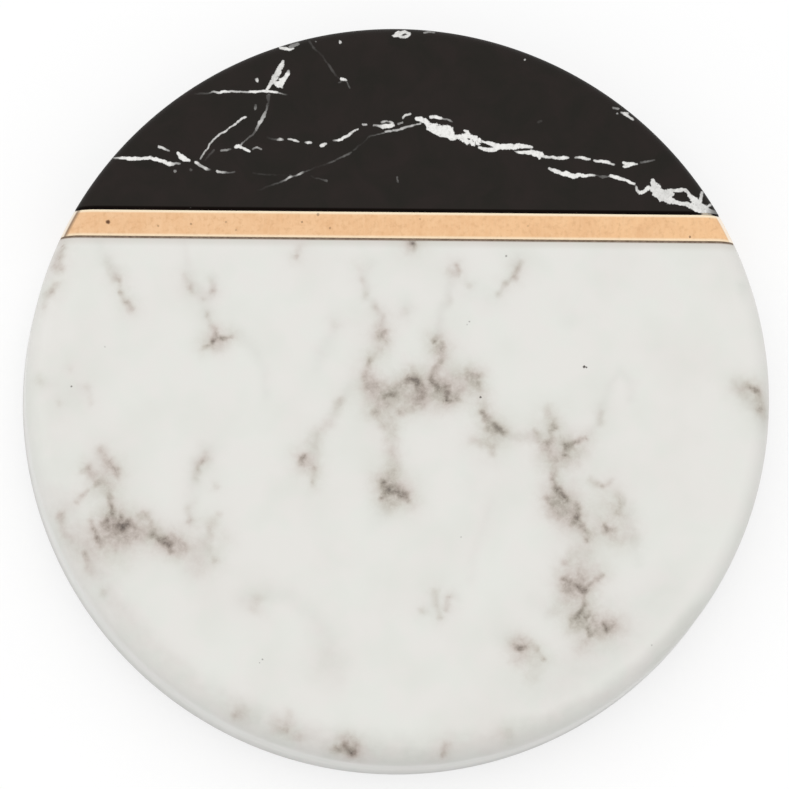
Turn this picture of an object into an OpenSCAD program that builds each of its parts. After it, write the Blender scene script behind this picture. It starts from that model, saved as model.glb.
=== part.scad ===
// Round drink coaster: two marble segments glued to a brass strip, then turned to one disc.
// Origin at the middle of the coaster, on the table. The strip runs along X, the black stone is at +Y.

/* [Disc] */
// Diameter of the finished disc
disc_d = 100; // [90:1:110]
// Thickness of the stone, and of the strip between its two segments
disc_t = 13; // [9:0.5:16]
// Radius of the rounded top rim
top_round = 2.5; // [1:0.25:4]
// Radius of the eased bottom rim
bottom_round = 0.9; // [0.3:0.1:2]

/* [Brass strip] */
// Width of the strip between its glue lines
strip_w = 3.6; // [2:0.2:8]
// Distance from the centre of the disc to the middle of the strip
strip_offset = 22.8; // [10:0.2:28]
// Thickness of the glue line on each side of the strip
glue_t = 0.27; // [0.1:0.01:0.5]

/* [Feet] */
// Diameter of each felt pad
pad_d = 12; // [8:1:14]
// Thickness of each felt pad
pad_t = 1.5; // [1:0.25:3]
// Thickness of the adhesive film above each pad
film_t = 0.2; // [0.1:0.05:0.4]
// Distance from the edge of each pad to the rim of the disc
pad_inset = 6; // [3:0.5:8]

/* [Hidden] */
$fn = 180;
// How far a cutting block runs past the disc on every open side
overrun = 1;

disc_r = disc_d / 2;
pad_ring_r = disc_r - pad_inset - pad_d / 2;

// Heights above the table
film_z = pad_t;
disc_z = film_z + film_t;

// Faces of the strip, and of the stones that are glued to it
strip_front_y = strip_offset - strip_w / 2;
strip_rear_y = strip_offset + strip_w / 2;
white_edge_y = strip_front_y - glue_t;
black_edge_y = strip_rear_y + glue_t;
slice_reach = disc_r + overrun;

// Where each pad stands round the disc
PAD_SIDES = ["right", "rear", "left", "front"];
pad_step = 360 / len(PAD_SIDES);

// Half section of the disc: the rounded top rim, the upright wall and the eased bottom rim
module disc_section() {
    square([disc_r - top_round, disc_t]);
    square([disc_r - bottom_round, disc_t - top_round]);
    translate([0, bottom_round]) square([disc_r, disc_t - top_round - bottom_round]);
    translate([disc_r - top_round, disc_t - top_round]) circle(r = top_round);
    translate([disc_r - bottom_round, bottom_round]) circle(r = bottom_round);
}

// The finished disc before it is told apart into its layers
module disc() {
    translate([0, 0, disc_z]) rotate_extrude() disc_section();
}

// The layer of the disc between two upright planes across it
module disc_slice(from_y, to_y) {
    intersection() {
        disc();
        translate([-slice_reach, from_y, disc_z - overrun])
            cube([slice_reach * 2, to_y - from_y, disc_t + overrun * 2]);
    }
}

module white_marble_segment() {
    color([0.89, 0.89, 0.87]) disc_slice(-slice_reach, white_edge_y);
}

module front_epoxy_joint() {
    color([0.33, 0.27, 0.22]) disc_slice(white_edge_y, strip_front_y);
}

module brass_strip() {
    color([0.92, 0.74, 0.56]) disc_slice(strip_front_y, strip_rear_y);
}

module rear_epoxy_joint() {
    color([0.06, 0.04, 0.03]) disc_slice(strip_rear_y, black_edge_y);
}

module black_marble_segment() {
    color([0.16, 0.155, 0.15]) disc_slice(black_edge_y, slice_reach);
}

// A round layer of one foot, at its place round the disc
module foot_layer(place, z, t) {
    rotate(place * pad_step) translate([pad_ring_r, 0, z]) cylinder(d = pad_d, h = t);
}

module felt_pad(place) {
    color([0.72, 0.69, 0.63]) foot_layer(place, 0, pad_t);
}

module pad_adhesive(place) {
    color([0.93, 0.91, 0.84]) foot_layer(place, film_z, film_t);
}

white_marble_segment();
black_marble_segment();
brass_strip();
front_epoxy_joint();
rear_epoxy_joint();
for (place = [0 : len(PAD_SIDES) - 1]) {
    felt_pad(place);
    pad_adhesive(place);
}
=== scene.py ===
"""Looks of a round drink coaster: white and black marble either side of a brass strip, on felt pads."""

import math

import bpy
import numpy as np
from mathutils import Matrix, Vector
from mathutils.geometry import delaunay_2d_cdt


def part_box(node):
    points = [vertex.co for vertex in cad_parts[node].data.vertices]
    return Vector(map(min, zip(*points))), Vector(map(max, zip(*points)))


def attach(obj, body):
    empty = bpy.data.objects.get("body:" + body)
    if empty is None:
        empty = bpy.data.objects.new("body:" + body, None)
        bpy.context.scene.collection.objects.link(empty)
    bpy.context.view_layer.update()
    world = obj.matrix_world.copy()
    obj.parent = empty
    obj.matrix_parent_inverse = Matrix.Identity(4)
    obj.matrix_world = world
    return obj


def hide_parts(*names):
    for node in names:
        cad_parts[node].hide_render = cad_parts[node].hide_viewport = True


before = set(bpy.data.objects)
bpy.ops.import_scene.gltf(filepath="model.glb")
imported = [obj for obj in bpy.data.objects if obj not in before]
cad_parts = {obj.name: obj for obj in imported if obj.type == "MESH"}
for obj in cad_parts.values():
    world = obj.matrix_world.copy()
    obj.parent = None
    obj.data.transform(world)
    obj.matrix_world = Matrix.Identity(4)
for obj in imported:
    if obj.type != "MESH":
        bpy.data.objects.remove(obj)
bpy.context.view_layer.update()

MM = 0.001

# Sizes that the frame gives
white_low, white_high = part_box("white_marble_segment")
brass_low, brass_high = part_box("brass_strip")
DISC_R = white_high.x
DISC_BOTTOM, DISC_TOP = white_low.z, white_high.z
WHITE_EDGE, BLACK_EDGE = white_high.y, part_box("black_marble_segment")[0].y
STRIP_FRONT, STRIP_REAR = brass_low.y, brass_high.y

# The rims that the CAD disc has
TOP_ROUND = 2.5 * MM
BOTTOM_ROUND = 0.9 * MM

# The soft edge and the fuzz of a felt pad
PAD_EDGE = 0.35 * MM
PAD_FUZZ = 0.05 * MM
# The round along each edge of the strip, and how far the skin of the glue sinks between its neighbours
BRASS_EDGE = 0.12 * MM
GLUE_SINK = 0.08 * MM

# How fine the meshes are. With QUICK at 2 the cells are twice as long
QUICK = 1
BLACK_CELL = 0.18 * MM * QUICK
BLACK_RIM_CELL = 0.2 * MM * QUICK
WHITE_CELL = 0.3 * MM * QUICK
RIM_CELL = 0.34 * MM * QUICK
STRIP_CELL = 0.3 * MM * QUICK
# How much longer the cells are round the rim than down it, and how much coarser the underside is
RIM_STRETCH = 1.2
UNDERSIDE_COARSER = 3
# The fewest steps over the rounded rim and over the eased one
TOP_STEPS, BOTTOM_STEPS = 6, 4
# Rings across a pad, steps round its edge and spokes
PAD_RINGS = 20
PAD_STEPS = 4
PAD_SPOKES = 144 // QUICK

# How the photograph was taken: its size and focal length in pixels, the distance, the angles of the view
# and the point that it looks at
PHOTO_PX = 789
FOCAL_PX = 11150
CAMERA_DISTANCE = 1.5
CAMERA_TILT = math.radians(9.5)
CAMERA_AZIMUTH = math.radians(245)
CAMERA_ROLL = math.radians(-0.14)
AIM = Vector((-0.2, 0.79, 8.2)) * MM
# The width of the camera's sensor in millimetres
SENSOR = 36
# The size on the coaster of one pixel of the photograph
PIXEL = CAMERA_DISTANCE / FOCAL_PX


# The camera, and where a pixel of the photograph lies on the coaster's top face

def direction(tilt, azimuth):
    """The direction that leans by a tilt from straight up, towards an azimuth from +X."""
    return Vector((
        math.sin(tilt) * math.cos(azimuth),
        math.sin(tilt) * math.sin(azimuth),
        math.cos(tilt),
    ))


def camera_axes():
    """The camera's right, up and backward directions."""
    back = direction(CAMERA_TILT, CAMERA_AZIMUTH)
    level = Vector((0, 1, 0)).cross(back).normalized()
    rise = back.cross(level)
    turn, lean = math.cos(CAMERA_ROLL), math.sin(CAMERA_ROLL)
    return level * turn + rise * lean, rise * turn - level * lean, back


RIGHT, UP, BACK = camera_axes()
EYE = AIM + BACK * CAMERA_DISTANCE


def on_top(x, y):
    """The point of the top face that the photograph shows at pixel (x, y)."""
    ray = RIGHT * ((x - PHOTO_PX / 2) / FOCAL_PX) + UP * ((PHOTO_PX / 2 - y) / FOCAL_PX) - BACK
    hit = EYE + ray * ((DISC_TOP - EYE.z) / ray.z)
    return hit.x, hit.y


def add_object(name, data):
    """A new object in the scene."""
    made = bpy.data.objects.new(name, data)
    bpy.context.scene.collection.objects.link(made)
    return made


def add_camera():
    data = bpy.data.cameras.new("camera")
    data.sensor_width = SENSOR
    data.lens = FOCAL_PX * SENSOR / PHOTO_PX
    camera = add_object("camera", data)
    axes = Matrix((RIGHT, UP, BACK)).transposed().to_4x4()
    camera.matrix_world = Matrix.Translation(EYE) @ axes
    bpy.context.scene.camera = camera


# The veins of the black marble as they lie in the photograph: each point is (x, y, half width, whiteness),
# the first three in its pixels and the last in percent
BLACK_VEINS = {
    "left_entry": [
        (113, 157.8, 0.8, 70), (122, 157.6, 1.4, 95), (130, 158.6, 1.9, 97), (140, 159, 1.7, 97),
        (150, 157.6, 1.5, 97), (160, 160, 1.8, 97), (169, 163.6, 1.9, 97), (180, 164, 0.8, 50),
    ],
    "left_blob": [(159, 147.6, 1.5, 80), (163, 148, 1.5, 90), (169, 151, 0.9, 60)],
    "left_wedge": [
        (177, 152.6, 1.3, 95), (181, 156.4, 2.8, 97), (184.6, 159.2, 2.5, 97), (189, 161, 1, 90),
    ],
    "left_dots": [(175.6, 171.6, 1.6, 50)],
    "left_dot_b": [(191.6, 170, 1.5, 28)],
    "junction": [(196, 162.4, 1.7, 95), (200, 165, 1.3, 65), (206, 168, 1.4, 85), (211, 170, 0.8, 20)],
    "junction_end": [(217, 171.6, 1.3, 85), (222, 172, 1.1, 75), (228, 172, 0.8, 40), (234, 172, 0.7, 30)],
    "junction_run": [(253, 173.4, 0.7, 10), (261, 174.4, 0.8, 16), (290, 175, 0.5, 6)],
    "junction_far": [(311, 176.2, 0.6, 10), (321, 179, 0.8, 22), (327, 180.8, 1.1, 32)],
    "left_thread": [
        (199.6, 158.6, 0.7, 60), (204, 153, 0.9, 80), (209, 145, 1, 82), (216, 138, 1, 82),
        (228, 129, 1, 86), (238, 122, 1.1, 90), (245.6, 117, 1.1, 90),
    ],
    "left_fork": [(205, 160, 0.7, 14), (214, 150, 0.8, 24)],
    "dash_left": [(221, 150.4, 1, 50), (227, 150.8, 1.1, 60), (231, 149.4, 0.8, 30)],
    "branch_foot": [(235.4, 147, 1.4, 95), (239, 146, 1.7, 97), (243, 148.4, 1.4, 95), (249, 151, 1.3, 95)],
    "branch": [
        (239.6, 146, 1, 85), (243, 142.4, 0.7, 45), (248, 138.6, 0.8, 32), (253, 135, 0.8, 30),
        (256, 129, 1.1, 50), (259.6, 122.6, 1.6, 80), (263, 117, 1.5, 65), (266.4, 111, 1.1, 50),
        (267.4, 104, 1.2, 26),
    ],
    "branch_top": [(269, 106, 0.6, 10), (267.6, 100, 1.6, 24), (268, 96, 1.8, 28)],
    "dash_right": [(252.6, 149, 0.9, 50), (257, 147.4, 1.1, 65), (261.4, 148.4, 0.9, 50)],
    "dash_upper": [(255.6, 104.6, 1.2, 30), (255, 108.4, 1.3, 45)],
    "level_thread_a": [
        (191, 94, 0.6, 5), (200, 93.6, 0.9, 18), (210, 93, 0.9, 28), (214, 92.4, 0.9, 70),
        (222, 92, 1.3, 97), (232, 91.6, 1, 85), (242, 92, 0.8, 70), (247, 92, 0.9, 75),
    ],
    "level_thread_b": [
        (246.6, 92.2, 0.7, 50), (250, 91.6, 1.3, 95), (260, 91, 1.4, 97), (266, 90.8, 1.7, 97),
        (274, 92, 1.6, 97), (278, 93, 0.8, 75), (287, 95, 0.7, 12),
    ],
    "wing_dot": [(257.2, 78.6, 1.4, 85), (257.6, 81.2, 1.4, 90)],
    "wing_left": [
        (283.6, 60.4, 0.9, 85), (281.8, 65, 1.9, 92), (279.8, 69, 2.6, 90), (277.4, 74, 3.2, 86),
        (274.8, 79, 3.2, 86), (270.6, 84, 2.2, 85), (266.6, 88.6, 1.4, 95),
    ],
    "wing_right": [(288.8, 70.6, 1, 60), (288, 74, 2, 95), (285.4, 77.4, 2.2, 92), (282.4, 81, 3, 97)],
    "wing_blob": [(275.4, 83, 2, 90), (278.6, 84.6, 3.2, 97), (281.4, 85, 2.6, 97)],
    "rim_blob": [(280, 47.6, 1.4, 90), (284, 48.8, 1.7, 95), (290, 48.6, 1.5, 95), (293, 47.4, 1.2, 90)],
    "rim_blob_end": [(291, 46, 1.6, 50), (298, 43.4, 1.6, 50)],
    "rim_swirl": [
        (394, 35.5, 1.6, 90), (399, 33, 2.4, 95), (404, 31, 1.4, 90), (409, 34, 1.5, 90),
        (404, 37.5, 1.2, 85), (399, 36.5, 1.2, 85),
    ],
    "rim_dash": [(424, 32.5, 0.9, 60), (435, 32.3, 0.9, 50)],
    "upper_thread": [
        (309.6, 41.6, 1.2, 20), (313, 47, 1.1, 22), (318, 52, 0.9, 10), (324, 58, 0.9, 14),
        (330, 68, 1.1, 24), (334, 73, 1, 20), (338, 78, 0.8, 10),
    ],
    "upper_dot": [(315, 41, 1.1, 50)],
    "dot_a": [(340, 42, 1.5, 85)],
    "dot_b": [(341.4, 79, 1.3, 90), (343.6, 79.2, 1.7, 97), (346.4, 80, 1, 85)],
    "dot_b_below": [(339, 83, 1, 28), (341, 82, 0.8, 20)],
    "upper_end": [(347, 82.4, 0.9, 30), (348.4, 85, 1, 30), (350, 88.4, 0.9, 24)],
    "dot_c": [(525, 60, 1.1, 80)],
    "dot_d": [(191, 207.5, 1, 70), (191.2, 208.5, 0.9, 70)],
    "mid_dot": [(538, 122, 1.4, 16), (541, 121, 1.2, 16)],
    "chain_start": [(268, 137.6, 1, 8), (277, 139.6, 0.9, 30)],
    "chain_a": [(277, 139.8, 0.9, 50), (280.4, 139.6, 1.2, 85), (283, 139.6, 0.8, 50)],
    "chain_b": [(288.4, 139, 0.9, 80), (293.6, 140.4, 1.3, 97), (298.6, 142, 0.8, 70)],
    "chain_c": [(305, 142.2, 0.8, 60), (308, 142.4, 1.3, 97), (311.2, 142.4, 0.9, 75)],
    "chain_d": [(321, 145.4, 1.3, 95), (323.6, 144.6, 1.6, 97), (326.4, 143.4, 1, 85)],
    "chain_e": [
        (332.6, 140.4, 0.8, 40), (337, 140.6, 1.2, 92), (341, 139.2, 1.6, 97), (347, 136, 1.2, 90),
        (354, 131.6, 1, 88), (358, 130, 0.9, 85),
    ],
    "chain_f": [(363, 124.4, 1.1, 80), (366.4, 124.4, 1.1, 80)],
    "chain_g": [
        (373.6, 125.4, 1, 60), (379, 126.2, 1, 75), (383, 126.6, 2, 92), (388, 126.4, 2.1, 97),
        (393.6, 125.6, 1.4, 92),
    ],
    "chain_arch": [(381, 123, 0.8, 70), (385, 121, 0.9, 75), (389, 121.4, 0.9, 75), (393, 123.6, 0.9, 80)],
    "chain_h": [(398, 123.6, 0.8, 50), (402.6, 122.4, 1, 65)],
    "chain_i": [(402.4, 118, 1, 75), (404.6, 115.2, 1.2, 88), (410, 114.2, 1, 80)],
    "under_thread": [
        (386, 132.2, 1.1, 72), (397, 129.8, 1, 75), (408, 126.6, 0.9, 70), (420, 123.6, 1, 80),
    ],
    "long_thread": [
        (386, 132.2, 0.8, 50), (378, 134, 0.7, 34), (370, 136, 0.7, 20), (362, 143, 0.7, 10),
        (353, 150, 0.8, 20),
    ],
    "long_thread_b": [
        (351, 151.8, 0.8, 26), (345, 155.4, 0.9, 36), (338, 159, 0.8, 26), (332, 161.6, 0.8, 32),
        (326, 164, 0.7, 12), (314, 168.4, 0.6, 12), (305, 172, 0.8, 28),
    ],
    "long_thread_c": [
        (305, 172, 0.8, 30), (299.6, 173.8, 1.1, 80), (294, 175.8, 0.7, 30), (289, 177.6, 1.1, 80),
        (281, 182, 0.8, 26),
    ],
    "long_thread_d": [(281, 182, 0.8, 28), (270, 186.4, 0.7, 16), (257, 190, 0.6, 8)],
    "low_dash": [(397.4, 177.6, 1.2, 34), (397.4, 181.6, 1.2, 34)],
    "main_start": [(416.8, 118.4, 1.8, 97), (421, 119, 2.6, 97), (425.4, 120.6, 2.4, 97)],
    "main_upper": [(430.6, 116.8, 1.3, 92), (436, 117, 1.6, 97), (441, 118.6, 1.3, 95)],
    "main_upper_end": [
        (441, 118.6, 0.9, 70), (445, 119.4, 0.8, 50), (449, 120.4, 1, 60), (452, 122.2, 0.7, 40),
    ],
    "main_body": [
        (425.4, 120.6, 2.4, 97), (429, 124.8, 3.2, 97), (433, 127.2, 4, 97), (438, 129, 4.6, 97),
        (443, 130.8, 5.6, 97), (449.4, 131, 4.8, 97),
    ],
    "main_body_low": [
        (427.4, 128.6, 1.6, 97), (434, 131, 1.8, 97), (441, 136, 1.5, 97), (447, 136.4, 1.4, 97),
        (451, 138.6, 1.4, 97), (455, 139.2, 1, 95),
    ],
    "main_neck": [
        (449.4, 131.4, 4.8, 97), (452, 135.4, 3.2, 97), (456, 137, 2.2, 95), (460, 136.8, 2.6, 97),
        (463, 138, 3.8, 97), (468, 139, 5.2, 97), (473, 140.4, 5.4, 97), (476.8, 141, 4.4, 97),
    ],
    "main_corner": [(473, 137, 2.4, 97), (476.4, 136.4, 1.2, 97)],
    "main_bump": [(465, 131, 1.3, 90), (467.6, 131.8, 1.4, 92), (468, 135, 2.2, 95)],
    "main_strand": [
        (479.6, 139.8, 1, 90), (485, 142.4, 1.3, 95), (490, 143.8, 1.8, 97), (497, 145.4, 2.4, 97),
        (505, 147, 3.2, 97), (513, 147.2, 3.2, 97), (519, 145.6, 2.4, 97), (526, 146.4, 1.8, 95),
        (531.4, 147.6, 1.2, 90),
    ],
    "main_low": [
        (479, 147.4, 1, 90), (484, 149, 1.6, 95), (490, 150, 1.9, 97), (495, 149.4, 1.9, 97),
        (500, 147.4, 1.8, 97),
    ],
    "main_end": [
        (514, 150, 1.2, 92), (519, 152.2, 1.6, 95), (526, 152.6, 1.9, 97), (532, 152.6, 2.2, 97),
        (538, 154.4, 3, 97), (541.4, 155, 2.6, 97),
    ],
    "main_end_low": [(538, 156, 2, 97), (539.6, 158.6, 1.4, 95)],
    "tail_a": [
        (541, 156.6, 1.4, 90), (549, 157.8, 1.3, 88), (556, 158.2, 1.5, 92), (563, 158, 1.8, 97),
        (568.4, 157.8, 1, 85),
    ],
    "tail_b": [(575.4, 158, 0.9, 75), (581.6, 157.8, 1.6, 97), (589.4, 160, 0.9, 80)],
    "tail_c": [(593.6, 160.4, 1.1, 85), (602, 161.6, 1.8, 97), (608, 162.8, 1.8, 97), (614, 165, 0.8, 80)],
    "tail_d": [(623.6, 162, 1.2, 90), (627, 163.6, 1.5, 97), (632, 164, 1.6, 97), (637.6, 163.6, 0.8, 85)],
    "tail_d_low": [(624, 166.6, 1.2, 90), (628, 165.6, 1.4, 95), (632, 164.4, 1.4, 95)],
    "tail_run": [(641, 162.2, 0.9, 30), (648, 161.4, 1.1, 45), (655, 160, 0.7, 30)],
    "lower_a": [
        (548.6, 168.8, 1.1, 85), (555, 171, 1.8, 95), (562, 173, 2.3, 97), (568, 174.6, 2.5, 97),
        (573, 176, 2.4, 97), (580, 175.2, 1.9, 97), (588, 175.6, 1.4, 97), (594.6, 176, 0.9, 80),
    ],
    "lower_gap": [(597, 176, 0.8, 24), (603, 177.4, 1.3, 36), (608, 176, 0.9, 30)],
    "lower_b": [
        (610.6, 175.6, 1.4, 92), (617, 177.4, 1.7, 97), (625, 179.6, 1.2, 92), (630, 182, 1.6, 97),
        (634.6, 183.6, 1.1, 90),
    ],
    "right_hook": [
        (636, 186.6, 0.8, 70), (636.8, 190, 1.3, 85), (639.4, 192.6, 1.7, 92), (644, 191, 1.9, 92),
        (649, 187.6, 2.2, 92),
    ],
    "right_peak": [
        (652.6, 179.6, 1.4, 90), (653.4, 184.4, 3.2, 90), (655.6, 189, 5, 90), (658.6, 192.6, 5.8, 90),
    ],
    "right_blob": [
        (658, 192.6, 5.6, 90), (663, 195.4, 6.6, 88), (667.4, 196.4, 7, 88), (670, 200.6, 3.6, 90),
    ],
    "right_arch": [
        (668, 191, 2.2, 88), (674, 190.6, 1.6, 88), (680, 189.8, 1.6, 88), (685, 190.2, 1.6, 88),
        (688.8, 193.8, 1.9, 88),
    ],
    "right_fall": [
        (688.6, 193.6, 1.7, 88), (692, 198.6, 3.2, 90), (696, 202, 3.8, 90), (700, 206, 4, 90),
        (706, 210, 3.6, 88),
    ],
    "right_base": [
        (669, 201.2, 2.6, 88), (678, 202.6, 1.8, 90), (687, 204.4, 2, 90), (694, 207.6, 2.8, 92),
        (701, 211, 2.8, 92),
    ],
    "right_spur": [(701.8, 192, 1.3, 80), (700.8, 197, 1.5, 85), (699.4, 202, 2.4, 90)],
    "right_exit": [(706, 210, 3.6, 88), (712, 211.6, 2.4, 60), (716, 213, 2, 45)],
    "right_line": [(707, 206.6, 1.2, 85), (712, 204, 1, 80)],
    "rim_dots_a": [(613, 107.4, 0.9, 45), (619, 108.2, 1, 62)],
    "rim_dots_b": [(617.4, 113.4, 1.2, 72)],
    "rim_dots_c": [
        (621.4, 112, 1, 85), (624.6, 114, 1.6, 90), (629.4, 117, 1.2, 90), (633, 119.8, 0.9, 80),
    ],
    "rim_dots_d": [(624.6, 114, 1.3, 90), (628.6, 113, 0.9, 80)],
}

# Dark gaps inside the veins: (x, y, half width)
BLACK_HOLES = {
    "right_hole": [(672.4, 197.8, 0.5), (677, 197.2, 1.7), (682, 196.4, 2.8), (685, 196.2, 3.2)],
    "wing_notch": [(285.4, 66, 0.6), (281.6, 73, 0.5), (279.6, 76.4, 0.1), (272, 80, 0)],
    "body_streak": [(431, 124.4, 0), (438, 126, 0.1), (447, 127, 0)],
    "knot_streak": [(465, 137, 0), (471, 139.6, 0.1), (476, 143, 0)],
    "main_gap": [(480, 143.6, 0.8), (484, 145.6, 1.2), (489, 146.8, 0.9)],
    "main_seam": [(446, 122.2, 0.8), (453.4, 128, 1.2), (458, 132.8, 0.9)],
    "end_seam": [(512, 151.2, 0.4), (520, 149.4, 0.6), (530, 149.6, 0.6)],
}

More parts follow.
